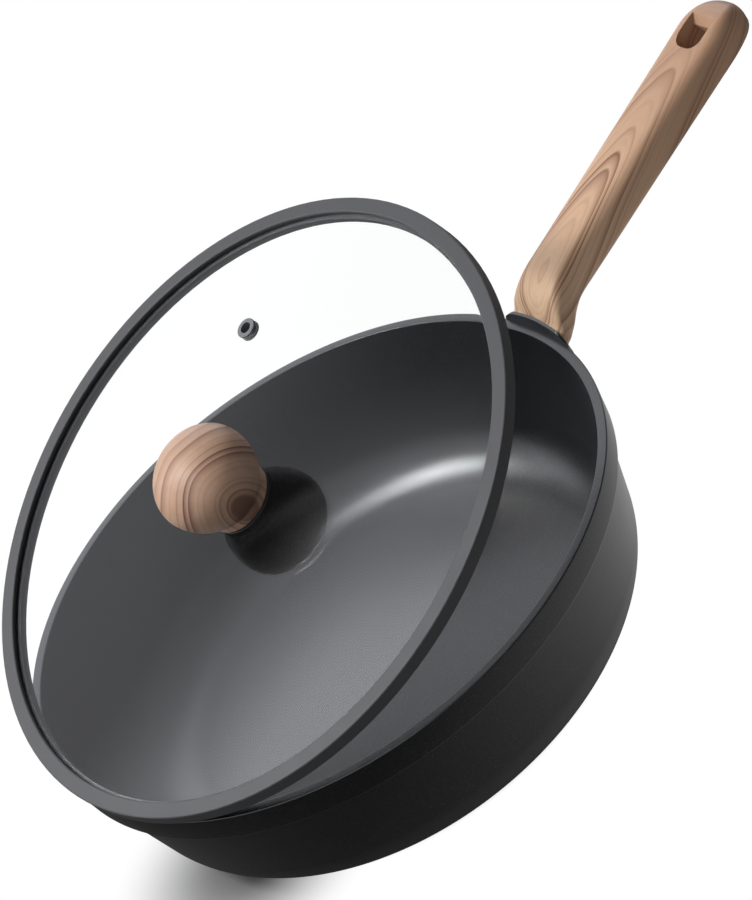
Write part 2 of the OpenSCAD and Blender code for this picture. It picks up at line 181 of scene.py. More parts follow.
def flecked_coating():
    """Sprayed satin coating with tiny metal flecks: a colour, a roughness and a fine normal."""
    tree, given, out = new_group(
        "flecked_coating",
        [
            ("Base", "Color", (0.0030, 0.0032, 0.0038, 1)),
            ("Fleck", "Color", (0.045, 0.047, 0.052, 1)),
            ("Fleck Size", "Float", 0.28 * mm),
            ("Roughness", "Float", 0.31),
        ],
        [("Color", "Color"), ("Roughness", "Float"), ("Normal", "Vector")],
    )
    place = node(tree, "TexCoord").outputs["Object"]
    per_metre = calc(tree, "DIVIDE", 1.0, given["Fleck Size"])
    cells = node(tree, "TexVoronoi", {"Vector": place, "Scale": per_metre})
    picked = node(tree, "SeparateColor", {"Color": cells.outputs["Color"]})
    chosen = calc(tree, "GREATER_THAN", picked.outputs["Red"], 0.88)
    shine = calc(tree, "MULTIPLY", chosen, picked.outputs["Green"])
    cloud = node(tree, "TexNoise", {"Vector": place, "Scale": 28.0, "Detail": 4.0})
    patch = node(
        tree,
        "MapRange",
        {"Value": cloud.outputs["Fac"], "To Min": 0.94, "To Max": 1.06},
    ).outputs[0]
    tint = blend_colours(tree, shine, given["Base"], given["Fleck"])
    shade = node(tree, "CombineColor", {0: patch, 1: patch, 2: patch}).outputs[0]
    colour = blend_colours(tree, 1.0, tint, shade, "MULTIPLY")
    grain = node(tree, "TexNoise", {"Vector": place, "Scale": 2600.0, "Detail": 2.0})
    uneven = calc(tree, "MULTIPLY_ADD", grain.outputs["Fac"], 0.16, 0.92)
    spread = calc(tree, "MULTIPLY", given["Roughness"], patch)
    roughness = calc(tree, "MULTIPLY", spread, uneven)
    rise = calc(tree, "MULTIPLY", picked.outputs["Blue"], 0.35)
    height = calc(tree, "ADD", rise, grain.outputs["Fac"])
    tree.links.new(colour, out.inputs["Color"])
    tree.links.new(roughness, out.inputs["Roughness"])
    tree.links.new(bump(tree, height, 0.075, 0.00003), out.inputs["Normal"])
    return tree


coating_group = flecked_coating()
coating, tree, shader = new_material("coated_casting", Specular_IOR_Level=0.5)
connect(tree, shader, place_group(tree, coating_group))

fit_gap = 0.1 * mm
pan_h = 78 * mm
rim_r = 145 * mm
rim_in_r = 140.3 * mm
rim_edge_r = 0.6 * mm
wall_t = 3 * mm
wall_lean = math.radians(13.5)
bend_r = 33 * mm
base_t = 5 * mm
collar_z = pan_h - 15 * mm
collar_low_r = rim_r - 2 * mm
bead_r = 1.6 * mm
disc_r = 84 * mm
disc_t = 1.2 * mm
bend_steps = 48
edge_steps = 8


def bend_middle(foot_r, low, r):
    """Middle of a bend of radius r between a level face and the leaning wall."""
    across = foot_r * math.cos(wall_lean) - r + (low + r) * math.sin(wall_lean)
    return across / math.cos(wall_lean), low + r


def bowl_solid(work):
    """The bowl with its collar and the recess for the steel disc, as one turned outline."""
    in_foot = rim_in_r - pan_h * math.tan(wall_lean)
    out_foot = in_foot + wall_t / math.cos(wall_lean)
    lean = math.degrees(wall_lean)
    recess_r = disc_r + fit_gap
    turned_solid(
        work,
        [
            (0, disc_t),
            (recess_r, disc_t),
            (recess_r, 0),
            *arc(bend_middle(out_foot, 0, bend_r), bend_r, -90, -lean, bend_steps),
            (out_foot + collar_z * math.tan(wall_lean), collar_z),
            *arc((collar_low_r - bead_r, collar_z + bead_r), bead_r, -90, 0, edge_steps),
            *arc((rim_r - rim_edge_r, pan_h - rim_edge_r), rim_edge_r, 0, 90, edge_steps),
            *arc(
                (rim_in_r + rim_edge_r, pan_h - rim_edge_r), rim_edge_r, 90, 180, edge_steps
            ),
            *arc(
                bend_middle(in_foot, base_t, bend_r - wall_t),
                bend_r - wall_t,
                -lean,
                -90,
                bend_steps,
            ),
            (0, base_t),
        ],
    )


bowl = new_piece("bowl", bowl_solid, coating, "pan")
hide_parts("pan_body")


# A perforated disc of magnetic steel is pressed into the underside, so that the pan heats on
# an induction hob. Its face is turned, which leaves fine rings round the middle.

turned_ring = 0.35 * mm


def turned_metal():
    """Fine turned rings round the Z axis, as a roughness and a normal."""
    tree, given, out = new_group(
        "turned_metal",
        [("Ring Width", "Float", turned_ring), ("Roughness", "Float", 0.28)],
        [("Roughness", "Float"), ("Normal", "Vector")],
    )
    place = node(tree, "TexCoord").outputs["Object"]
    flat = node(
        tree, "VectorMath", {0: place, 1: (1, 1, 0)}, operation="MULTIPLY"
    ).outputs[0]
    radius = node(
        tree, "VectorMath", {0: flat}, operation="LENGTH"
    ).outputs["Value"]
    turns = calc(tree, "DIVIDE", radius, given["Ring Width"])
    rings = node(
        tree, "TexNoise", {"W": turns, "Scale": 1.0, "Detail": 2.0}, noise_dimensions="1D"
    ).outputs["Fac"]
    spread = calc(tree, "MULTIPLY_ADD", rings, 0.25, given["Roughness"])
    tree.links.new(spread, out.inputs["Roughness"])
    tree.links.new(bump(tree, rings, 0.35, 0.00004), out.inputs["Normal"])
    return tree


def dress(node_name, material):
    """Puts a material on a carried-over solid."""
    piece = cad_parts[node_name]
    piece.data.materials.clear()
    piece.data.materials.append(material)
    return piece


turned_group = turned_metal()
disc_steel, tree, shader = new_material(
    "disc_steel", Base_Color=(0.5, 0.5, 0.51, 1), Metallic=1.0
)
connect(tree, shader, place_group(tree, turned_group))
dress("base_disc", disc_steel)


# The grip is moulded in heat-proof resin with a light wood grain. Its near end flares and drops
# to the lug, its tip is rounded, and a hanging slot with a ramp goes through it.

grip_x = 146.2 * mm
near_x = 144.1 * mm
grip_len = 163.6 * mm
grip_w = 30 * mm
grip_h = 20.4 * mm
grip_rise = math.tan(math.radians(14.7))
grip_lift = 8.1 * mm
grip_drop = 8.5 * mm
grip_edge_r = 7 * mm
tip_drop = 10.5 * mm
tip_blunt = 0.45
# Shares along the grip, and there the shares of the drop, the width, the height and the rounding
grip_shares = [
    (0.000, 1.00, 1.327, 0.450, 1.00),
    (0.013, 0.98, 1.320, 0.590, 1.00),
    (0.027, 0.78, 1.287, 0.815, 1.00),
    (0.045, 0.58, 1.190, 0.980, 1.00),
    (0.067, 0.39, 1.110, 1.060, 1.00),
    (0.097, 0.15, 1.013, 1.055, 1.00),
    (0.134, 0.01, 0.950, 1.025, 1.00),
    (0.189, 0.00, 0.935, 1.035, 1.00),
    (0.281, 0.00, 0.956, 1.010, 0.95),
    (0.433, 0.00, 0.975, 0.985, 0.89),
    (0.617, 0.00, 0.972, 0.995, 0.83),
    (0.800, 0.00, 0.997, 0.965, 0.74),
    (1.000, 0.00, 1.000, 1.000, 0.69),
]
tip_share = 1 - 23.4 * mm / grip_len
corner_steps = 10
section_corners = ((1, 1), (-1, 1), (-1, -1), (1, -1))


def grip_at(share, column):
    """The grip's table read smoothly at a share of its length."""
    rows = grip_shares
    i = max(k for k in range(len(rows) - 1) if rows[k][0] <= share)
    a, b = rows[i], rows[i + 1]
    before, after = rows[max(i - 1, 0)], rows[min(i + 2, len(rows) - 1)]
    width = b[0] - a[0]
    u = (share - a[0]) / width
    start = (b[column] - before[column]) / (b[0] - before[0])
    end = (after[column] - a[column]) / (after[0] - a[0])
    return (
        a[column] * (2 * u**3 - 3 * u**2 + 1)
        + b[column] * (3 * u**2 - 2 * u**3)
        + width * start * (u**3 - 2 * u**2 + u)
        + width * end * (u**3 - u**2)
    )


def tip_left(share):
    """How much of the section is left, from 1 to 0 over the rounded tip."""
    if share <= tip_share:
        return 1.0
    return math.sqrt(max(0.0, 1 - ((share - tip_share) / (1 - tip_share)) ** 2))


def grip_centre(share):
    """Height of the grip's middle at a share of its length."""
    rise = pan_h + grip_lift + share * grip_len * grip_rise
    return rise - grip_drop * grip_at(share, 1) - tip_drop * (1 - tip_left(share))


def grip_ring(share):
    """A rounded rectangle round the grip, square to X."""
    left = tip_left(share)
    half_w = grip_w * grip_at(share, 2) / 2 * left
    half_h = grip_h * grip_at(share, 3) / 2 * left**tip_blunt
    r = min(grip_edge_r * grip_at(share, 4), half_w * 0.98, half_h * 0.98)
    ring = []
    for quarter, (side, top) in enumerate(section_corners):
        for i in range(corner_steps + 1):
            a = math.radians(90 * quarter + 90 * i / corner_steps)
            ring.append(
                Vector(
                    (
                        near_x + share * grip_len,
                        side * (half_w - r) + r * math.cos(a),
                        grip_centre(share) + top * (half_h - r) + r * math.sin(a),
                    )
                )
            )
    return ring


def skin(work, rings):
    """Closes a stack of rings with the same number of points into one solid."""
    made = [[work.verts.new(p) for p in ring] for ring in rings]
    count = len(made[0])
    for near, far in zip(made, made[1:]):
        for i in range(count):
            j = (i + 1) % count
            work.faces.new((near[i], far[i], far[j], near[j]))
    work.faces.new(made[0])
    work.faces.new(reversed(made[-1]))


grip_stations = 90
tip_stations = 24


def grip_solid(work):
    shares = [tip_share * (i / grip_stations) ** 1.25 for i in range(grip_stations)]
    shares += [
        tip_share + (1 - tip_share) * math.sin(math.radians(89.5 * i / tip_stations))
        for i in range(tip_stations + 1)
    ]
    skin(work, [grip_ring(s) for s in shares])


# One run of years: place of each dark line from the last run's end, its darkness, and how far
# the dark fades inward, all in millimetres but the darkness. Then the run begins again.
# Outward a line ends sharply, as the growth of one year stops.
ring_run = 24 * mm
line_end = 0.35
pale_year = 0.03
ring_lines = [
    (0.9, 0.5, 0.8),
    (6.6, 0.75, 2.4),
    (9.4, 0.5, 1.8),
    (11.1, 0.3, 1.1),
    (14.8, 0.15, 1.2),
    (20.6, 0.85, 2.6),
    (22.5, 1.0, 1.6),
]


def ramp(tree, value, stops):
    """The colour of a Color Ramp with stops given as (place, colour)."""
    made = node(tree, "ValToRGB", {"Fac": value})
    points = made.color_ramp.elements
    while len(points) < len(stops):
        points.new(0.5)
    for point, (place, colour) in zip(points, stops):
        point.position = place
        point.color = (*colour, 1)
    return made.outputs["Color"]


def fade(tree, value, start, end, first=0.0, last=1.0):
    """A smooth step from first at start to last at end."""
    return node(
        tree,
        "MapRange",
        {
            "Value": value,
            "From Min": start,
            "From Max": end,
            "To Min": first,
            "To Max": last,
        },
        interpolation_type="SMOOTHSTEP",
    ).outputs[0]


def wood_grain():
    """Growth rings round a slanted axis, with fibres: a colour, a roughness and a normal."""
    tree, given, out = new_group(
        "wood_grain",
        [
            ("Offset", "Vector", (0, 0, 0)),
            ("Turn", "Vector", (0, 0, 0)),
            ("Stretch", "Vector", (0, 1.45, 1)),
            ("Wander", "Float", 4.4 * mm),
            ("Heart Radius", "Float", 0.1 * mm),
            ("Light", "Color", (0.64, 0.43, 0.282, 1)),
            ("Middle", "Color", (0.54, 0.335, 0.205, 1)),
            ("Dark", "Color", (0.17, 0.07, 0.034, 1)),
        ],
        [("Color", "Color"), ("Roughness", "Float"), ("Normal", "Vector")],
    )
    place = node(tree, "TexCoord").outputs["Object"]
    moved = node(
        tree, "VectorMath", {0: place, 1: given["Offset"]}, operation="SUBTRACT"
    ).outputs[0]
    turned = node(
        tree,
        "VectorRotate",
        {"Vector": moved, "Rotation": given["Turn"]},
        rotation_type="EULER_XYZ",
        invert=True,
    ).outputs[0]
    # The trunk is not quite round, so slow noise, long along the grain, bends the rings
    slow_place = node(
        tree, "VectorMath", {0: turned, 1: (12, 30, 30)}, operation="MULTIPLY"
    ).outputs[0]
    slow = node(
        tree, "TexNoise", {"Vector": slow_place, "Scale": 1.0, "Detail": 1.0}
    ).outputs["Fac"]
    across = node(
        tree, "VectorMath", {0: turned, 1: given["Stretch"]}, operation="MULTIPLY"
    ).outputs[0]
    radius = node(
        tree, "VectorMath", {0: across}, operation="LENGTH"
    ).outputs["Value"]
    swing = calc(tree, "SUBTRACT", slow, 0.5)
    bent = calc(tree, "MULTIPLY_ADD", swing, given["Wander"], radius)
    run = calc(tree, "DIVIDE", bent, ring_run)
    stops = [(0.0, [pale_year] * 3)]
    for line_place, dark, soft in ring_lines:
        for away, share in ((-soft, 0.0), (-0.3 * soft, 0.55), (0.0, 1.0), (line_end, 0.0)):
            tone = pale_year + (dark - pale_year) * share
            stops.append(((line_place + away) * mm / ring_run, [tone] * 3))
    late = ramp(tree, calc(tree, "FRACT", run), stops)
    faint_lines = node(
        tree,
        "TexNoise",
        {"W": calc(tree, "MULTIPLY", bent, 900.0), "Scale": 1.0, "Detail": 2.0},
        noise_dimensions="1D",
    ).outputs["Fac"]
    faint = calc(tree, "MULTIPLY_ADD", faint_lines, 0.5, -0.2)
    strength = calc(tree, "MULTIPLY_ADD", slow, 0.8, 0.62)
    line = calc(tree, "MAXIMUM", calc(tree, "MULTIPLY", late, strength), faint)
    fibre_place = node(
        tree, "VectorMath", {0: turned, 1: (60, 2600, 2600)}, operation="MULTIPLY"
    ).outputs[0]
    fibre = node(
        tree, "TexNoise", {"Vector": fibre_place, "Scale": 1.0, "Detail": 3.0}
    ).outputs["Fac"]
    streak_place = node(
        tree, "VectorMath", {0: turned, 1: (18, 260, 260)}, operation="MULTIPLY"
    ).outputs[0]
    streak = node(
        tree, "TexNoise", {"Vector": streak_place, "Scale": 1.0, "Detail": 3.0}
    ).outputs["Fac"]
    body = blend_colours(tree, streak, given["Light"], given["Middle"])
    heart_start = calc(tree, "MULTIPLY", given["Heart Radius"], 0.8)
    heart_end = calc(tree, "MULTIPLY", given["Heart Radius"], 1.25)
    heart = fade(tree, radius, heart_start, heart_end, 0.85, 0.0)
    darkened = calc(tree, "MAXIMUM", line, heart)
    lined = blend_colours(tree, darkened, body, given["Dark"])
    fine = calc(tree, "MULTIPLY_ADD", fibre, 0.1, 0.95)
    shade = node(tree, "CombineColor", {0: fine, 1: fine, 2: fine}).outputs[0]
    colour = blend_colours(tree, 1.0, lined, shade, "MULTIPLY")
    tree.links.new(colour, out.inputs["Color"])
    rough = calc(tree, "MULTIPLY_ADD", line, 0.1, 0.46)
    tree.links.new(rough, out.inputs["Roughness"])
    relief = calc(tree, "MULTIPLY_ADD", line, -0.6, fibre)
    tree.links.new(bump(tree, relief, 0.2, 0.00004), out.inputs["Normal"])
    return tree


grain_group = wood_grain()
grip_wood, tree, shader = new_material(
    "grip_wood_effect", Specular_IOR_Level=0.22, Coat_Weight=0.05, Coat_Roughness=0.35
)
finish = place_group(
    tree,
    grain_group,
    {"Offset": (near_x, -2 * mm, 103.5 * mm), "Turn": (0, math.radians(-26), 0)},
)
connect(tree, shader, finish)
# Towards the tip the colour turns redder and darker
place = node(tree, "TexCoord").outputs["Object"]
along = node(tree, "SeparateXYZ", {"Vector": place}).outputs["X"]
tip_darkening = fade(tree, along, 170 * mm, 300 * mm, 0.0, 0.6)
darkened = blend_colours(tree, tip_darkening, finish["Color"], (0.31, 0.165, 0.095))
tree.links.new(darkened, shader.inputs["Base Color"])

grip = new_piece("grip", grip_solid, grip_wood, "pan")

slot_w = 17 * mm
slot_len = 13.5 * mm
slot_corner_r = 6.5 * mm
slot_ramp = 5.5 * mm
slot_ramp_depth = 5 * mm
slot_margin = 11.5 * mm
slot_edge_r = 0.7 * mm


def slot_outline(spread):
    """The slot from above, grown by spread: rounded at its pan side, square at its far side."""
    r = slot_corner_r + spread
    half = slot_w / 2 + spread
    points = []
    for side, start in ((1, 90), (-1, 180)):
        for i in range(9):
            a = math.radians(start + 90 * i / 8)
            points.append(
                (
                    slot_corner_r + r * math.cos(a),
                    side * (half - r) + r * math.sin(a),
                )
            )
    return [*points, (slot_len + spread, -half), (slot_len + spread, half)]


def slot_cutter(work):
    """The slot's inside, flared at both mouths so that the cut leaves rounded edges."""
    half_h = grip_h / 2
    levels = [(-2 * half_h, slot_edge_r)]
    for i in range(7):
        a = math.radians(90 * i / 6)
        levels.append(
            (-half_h + slot_edge_r * math.sin(a), slot_edge_r * (1 - math.sin(a)))
        )
    levels += [(-z, spread) for z, spread in reversed(levels)]
    skin(
        work,
        [[Vector((x, y, z)) for x, y in slot_outline(spread)] for z, spread in levels],
    )


def ramp_cutter(work):
    """The ramp on the far side of the slot's upper mouth."""
    half_h = grip_h / 2
    over = 2 * mm
    profile = [
        (slot_len - over, half_h + over),
        (slot_len + slot_ramp * (1 + over / slot_ramp_depth), half_h + over),
        (slot_len, half_h - slot_ramp_depth),
        (slot_len - over, half_h - slot_ramp_depth),
    ]
    skin(
        work,
        [[Vector((x, y, z)) for x, z in profile] for y in (-slot_w / 2, slot_w / 2)],
    )


slot_share = 1 - (slot_margin + slot_ramp + slot_len) / grip_len
slot_place = Matrix.Translation(
    (near_x + slot_share * grip_len, 0, grip_centre(slot_share))
) @ Matrix.Rotation(-math.atan(grip_rise), 4, "Y")


def cut_away(piece, cutters, keep=None):
    """Cuts the cutters out of a piece, and what lies outside keep, for good."""
    for cutter in [*cutters, keep]:
        if cutter:
            step = piece.modifiers.new("cut", "BOOLEAN")
            step.operation = "INTERSECT" if cutter is keep else "DIFFERENCE"
            step.solver = "EXACT"
            step.object = cutter
    graph = bpy.context.evaluated_depsgraph_get()
    cut_mesh = bpy.data.meshes.new_from_object(piece.evaluated_get(graph))
    piece.modifiers.clear()
    old = piece.data
    piece.data = cut_mesh
    bpy.data.meshes.remove(old)
    cut_mesh.name = piece.name
    cut_mesh.set_sharp_from_angle(angle=math.radians(35))
    for cutter in [*cutters, keep]:
        if cutter:
            bpy.data.objects.remove(cutter)


def rod(radius, depth, segments, place=Matrix()):
    """A mesh maker for a round bar along Z, to cut with."""
    return lambda work: bmesh.ops.create_cone(
        work,
        cap_ends=True,
        segments=segments,
        radius1=radius,
        radius2=radius,
        depth=depth,
        matrix=place,
    )


cutters = [
    new_piece("slot_cutter", slot_cutter),
    new_piece("ramp_cutter", ramp_cutter),
]
for cutter in cutters:
    cutter.data.transform(slot_place)
# A wide bar round the pan's axis leaves the near face curved round the rim
cutters.append(new_piece("face_cutter", rod(grip_x, 300 * mm, 720)))
cut_away(grip, cutters)
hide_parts("handle_grip")


# The lug is cast with the bowl. It widens from the grip's near end into the collar, and its
# tongue goes into the grip and is tapped for the handle screw.

lug_w = 60 * mm
lug_root_x = rim_in_r - 2 * mm
lug_root_r = 3 * mm
lug_slab = 1 * mm
lug_in_r = rim_in_r + wall_t / 2
lug_out_r = grip_x - fit_gap
lug_low_z = collar_z + bead_r
tang_w = 19 * mm
tang_h = 9.6 * mm
tang_x = grip_x + 30 * mm
screw_bore_r = 2.55 * mm
screw_bore_len = 15 * mm


def lug_section(work, x, w, low, high, r):
    """Corner points of a rounded rectangle, a slab thick, for the lug's hull."""
    for side, top in section_corners:
        for i in range(9):
            a = math.atan2(top, side) - math.pi / 4 + math.pi / 2 * i / 8
            y = side * (w / 2 - r) + r * math.cos(a)
            z = (high - r if top > 0 else low + r) + r * math.sin(a)
            for depth in (0, lug_slab):
                work.verts.new((x + depth, y, z))


def lug_solid(work):
    share = (grip_x - near_x) / grip_len
    near_w = grip_w * grip_at(share, 2)
    near_h = grip_h * grip_at(share, 3)
    near_z = grip_centre(share)
    near_r = min(grip_edge_r, near_h / 2 * 0.98)
    lug_section(work, lug_root_x, lug_w, lug_low_z, pan_h, lug_root_r)
    lug_section(
        work, grip_x, near_w, near_z - near_h / 2, near_z + near_h / 2, near_r
    )
    hull = bmesh.ops.convex_hull(work, input=work.verts)
    inside = [v for v in hull["geom_interior"] if isinstance(v, bmesh.types.BMVert)]
    bmesh.ops.delete(work, geom=inside, context="VERTS")


def drum(radius, low, high):
    """A mesh maker for a cylinder round the pan's axis."""
    return lambda work: turned_solid(
        work, [(0, low), (radius, low), (radius, high), (0, high)], 720
    )


def tongue_solid(work):
    """A bar that follows the grip's middle from the lug to the screw's seat."""
    steps = 8
    start = lug_out_r - lug_slab
    rings = []
    for i in range(steps + 1):
        x = start + (tang_x - start) * i / steps
        z = grip_centre((x - near_x) / grip_len)
        rings.append(
            [
                Vector((x, side * tang_w / 2, z + top * tang_h / 2))
                for side, top in section_corners
            ]
        )
    skin(work, rings)


top_join = pan_h - 0.03 * mm
lug = new_piece("lug", lug_solid, coating, "pan")
cut_away(
    lug,
    [
        new_piece("bowl_room", drum(lug_in_r, 0, 2 * pan_h)),
        new_piece("rim_room", drum(rim_r + fit_gap, top_join, 2 * pan_h)),
    ],
    keep=new_piece("joint_face", drum(lug_out_r, 0, 2 * pan_h)),
)
tongue = new_piece("tongue", tongue_solid, coating, "pan")
bore_place = Matrix.Translation(
    (tang_x, 0, grip_centre((tang_x - near_x) / grip_len))
) @ Matrix.Rotation(math.pi / 2 - math.atan(grip_rise), 4, "Y")
bore = rod(screw_bore_r, 2 * screw_bore_len, 48, bore_place)
cut_away(tongue, [new_piece("screw_bore", bore)])


# One steel screw, with a flat washer and a split washer under its head, pulls the grip onto the
# lug's tongue from inside. They are bright zinc plated.


def plated_steel():
    """Zinc plating: a clouded roughness and a faint ripple."""
    tree, given, out = new_group(
        "plated_steel",
        [("Roughness", "Float", 0.18)],
        [("Roughness", "Float"), ("Normal", "Vector")],
    )
    place = node(tree, "TexCoord").outputs["Object"]
    cloud = node(
        tree, "TexNoise", {"Vector": place, "Scale": 400.0, "Detail": 3.0}
    ).outputs["Fac"]
    tree.links.new(
        calc(tree, "MULTIPLY_ADD", cloud, 0.2, given["Roughness"]),
        out.inputs["Roughness"],
    )
    tree.links.new(bump(tree, cloud, 0.2, 0.00003), out.inputs["Normal"])
    return tree


plated_group = plated_steel()
screw_steel, tree, shader = new_material(
    "screw_steel", Base_Color=(0.62, 0.63, 0.65, 1), Metallic=1.0
)
connect(tree, shader, place_group(tree, plated_group))
for name in ("handle_washer", "handle_lock_washer", "handle_screw"):
    dress(name, screw_steel)


# The lid is one disc of clear toughened glass, ground round at its edge and pressed to a very
# slight dome. Light that only crosses it on its way to a surface passes straight through.

lid_gap = 0.3 * mm
lid_back = 1.4 * mm
lid_side = 1.6 * mm
lid_half = 144.5 * mm
lid_tilt = math.radians(17.9)
lid_turn = math.radians(14.5)
lid_place = (
    Matrix.Rotation(lid_turn, 4, "Z")
    @ Matrix.Translation((-lid_half - lid_back, -lid_side, pan_h + lid_gap))
    @ Matrix.Rotation(-lid_tilt, 4, "Y")
    @ Matrix.Translation((lid_half, 0, 0))
    @ Matrix.Rotation(-lid_turn, 4, "Z")
)
glass_low = 0.8 * mm
glass_t = 3.8 * mm
glass_r = 141.5 * mm
glass_crown = 2 * mm
glass_edge_r = 1.2 * mm
knob_hole_r = 3.6 * mm
knob_pad_r = 18.4 * mm
seal_in_r = 137.1 * mm
vent_dist = 88 * mm
vent_turn = math.radians(42)
vent_hole_r = 3.46 * mm


def glass_height(radius):
    """Height of the glass's lower face: flat under the knob and in the seal, domed between."""
    share = (min(max(radius, knob_pad_r), seal_in_r) - knob_pad_r) / (
        seal_in_r - knob_pad_r
    )
    return glass_low + glass_crown * (1 - share * share)


def glass_disc(work):
    """The glass turned round its axis, from a closed outline."""
    inner = [knob_hole_r + (knob_pad_r - knob_hole_r) * i / 4 for i in range(5)]
    dome = [knob_pad_r + (seal_in_r - knob_pad_r) * i / 60 for i in range(1, 61)]
    radii = inner + dome
    edge_x = glass_r - glass_edge_r
    turned_solid(
        work,
        [
            *[(r, glass_height(r)) for r in radii],
            *arc((edge_x, glass_low + glass_edge_r), glass_edge_r, -90, 0, 8),
            *arc((edge_x, glass_low + glass_t - glass_edge_r), glass_edge_r, 0, 90, 8),
            *[(r, glass_height(r) + glass_t) for r in reversed(radii)],
        ],
    )


def show(tree, surface):
    """Makes another shader than the Principled one what the material shows."""
    output = next(n for n in tree.nodes if n.type == "OUTPUT_MATERIAL")
    tree.links.new(surface.outputs[0], output.inputs["Surface"])


glass, tree, shader = new_material(
    "lid_glass",
    Base_Color=(0.995, 1.0, 0.998, 1),
    Roughness=0.0,
    IOR=1.5,
    Transmission_Weight=1.0,
)
clear = node(tree, "BsdfTransparent", {"Color": (0.93, 0.95, 0.945, 1)})
path = node(tree, "LightPath")
crossing = calc(
    tree, "MAXIMUM", path.outputs["Is Shadow Ray"], path.outputs["Is Diffuse Ray"]
)
mixed = node(
    tree, "MixShader", {0: crossing, 1: shader.outputs[0], 2: clear.outputs[0]}
)
show(tree, mixed)

lid_disc = new_piece("lid_disc", glass_disc, glass, "lid", sharp=50)
vent_place = Matrix.Rotation(vent_turn, 4, "Z") @ Matrix.Translation(
    (vent_dist, 0, glass_height(vent_dist) + glass_t / 2)
)
vent_cutter = rod(vent_hole_r, 4 * glass_t, 64, vent_place)
cut_away(lid_disc, [new_piece("vent_cutter", vent_cutter)])
lid_disc.data.transform(lid_place)
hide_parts("lid_glass")


# A silicone ring is moulded round the glass. Its flange lies on the pan's rim and its skirt
# reaches inside, and the steam vent has a grommet of the same rubber in a lighter grey.


def moulded_silicone():
    """Satin rubber: a faint cloud in its colour and shine, and a fine skin."""
    tree, given, out = new_group(
        "moulded_silicone",
        [("Base", "Color", (0.09, 0.09, 0.1, 1)), ("Roughness", "Float", 0.45)],
        [("Color", "Color"), ("Roughness", "Float"), ("Normal", "Vector")],
    )
    place = node(tree, "TexCoord").outputs["Object"]
    cloud = node(
        tree, "TexNoise", {"Vector": place, "Scale": 90.0, "Detail": 4.0}
    ).outputs["Fac"]
    skin_grain = node(
        tree, "TexNoise", {"Vector": place, "Scale": 2600.0, "Detail": 2.0}
    ).outputs["Fac"]
    light = calc(tree, "MULTIPLY_ADD", cloud, 0.18, 0.91)
    shade = node(tree, "CombineColor", {0: light, 1: light, 2: light}).outputs[0]
    colour = blend_colours(tree, 1.0, given["Base"], shade, "MULTIPLY")
    tree.links.new(colour, out.inputs["Color"])
    tree.links.new(
        calc(tree, "MULTIPLY_ADD", cloud, 0.14, given["Roughness"]),
        out.inputs["Roughness"],
    )
    tree.links.new(bump(tree, skin_grain, 0.3, 0.00003), out.inputs["Normal"])
    return tree


silicone_group = moulded_silicone()


def silicone(name, base, roughness):
    """One of the object's rubbers."""
    made, tree, shader = new_material(name, Specular_IOR_Level=0.3)
    values = {"Base": (*base, 1), "Roughness": roughness}
    connect(tree, shader, place_group(tree, silicone_group, values))
    return made


seal_rubber = silicone("seal_silicone", (0.046, 0.0465, 0.048), 0.5)
dress("lid_rim_seal", seal_rubber)
vent_rubber = silicone("vent_silicone", (0.135, 0.135, 0.14), 0.42)
dress("vent_grommet", vent_rubber)


# The knob is a moulded ball on a short foot, with the grip's wood grain in rings round one spot
# on its side. A brass insert in it takes the screw, between two rubber seals and steel washers.

knob_seal_t = 0.8 * mm
ball_rise = 23.2 * mm
ball_height = glass_low + glass_crown + glass_t + knob_seal_t + ball_rise
knob_middle = lid_place @ Vector((0, 0, ball_height))
knob_heart = knob_middle + Vector((1.05, -21.5, -11.8)) * mm
knob_grain = Vector((-0.2, -0.81, 0.55))
knob_turn = knob_grain.to_track_quat("X", "Z").to_euler("XYZ")
knob_wood, tree, shader = new_material(
    "knob_wood_effect", Specular_IOR_Level=0.22, Coat_Weight=0.05, Coat_Roughness=0.35
)
finish = place_group(
    tree,
    grain_group,
    {
        "Offset": knob_heart,
        "Turn": knob_turn,
        "Stretch": (0, 0.86, 0.86),
        "Wander": 4.6 * mm,
        "Heart Radius": 5.2 * mm,
        "Light": (0.48, 0.318, 0.222, 1),
        "Middle": (0.42, 0.255, 0.165, 1),
        "Dark": (0.12, 0.052, 0.038, 1),
    },
)
connect(tree, shader, finish)
# Painted reflection: to mirrors the ball's colour is much darker, as its image in the glass is
# nearly black in the photo
mirrored = node(tree, "LightPath").outputs["Is Glossy Ray"]
dimmed = calc(tree, "MULTIPLY", mirrored, 0.85)
painted_dark_reflection = blend_colours(tree, dimmed, finish["Color"], (0.01, 0.008, 0.007))
tree.links.new(painted_dark_reflection, shader.inputs["Base Color"])
dress("knob_ball", knob_wood)

brass, tree, shader = new_material(
    "insert_brass", Base_Color=(0.62, 0.45, 0.2, 1), Metallic=1.0
)
connect(tree, shader, place_group(tree, plated_group, {"Roughness": 0.22}))
dress("knob_insert", brass)

knob_rubber = silicone("knob_silicone", (0.05, 0.05, 0.053), 0.5)
for name in ("knob_seal_top", "knob_seal_bottom"):
    dress(name, knob_rubber)
for name in ("knob_washer", "knob_lock_washer", "knob_screw"):
    dress(name, screw_steel)


# The object stands on a plain white floor. Round the base, and at the side away from the handle,
# the floor has a painted shadow: a dark grey patch, which the real shadow also falls on. Farther
# out it is plain white to the camera and glows to light the object from below, and mirrored in
# the coating it glows grey, but light beside the handle.

floor_size = 12.0
floor_depth = 0.3 * mm
# The grey of the painted shadow, which the real shadow darkens further
painted_shadow_grey = 0.19
contact_start = 100 * mm
contact_end = 113 * mm
shadow_middle = (-111 * mm, -13 * mm, 0)
shadow_start = 12 * mm
shadow_end = 72 * mm
floor_glow_strength = 0.5


def floor_plane(work):
    half = floor_size / 2
    corners = ((-half, -half), (half, -half), (half, half), (-half, half))
    work.faces.new([work.verts.new((x, y, -floor_depth)) for x, y in corners])


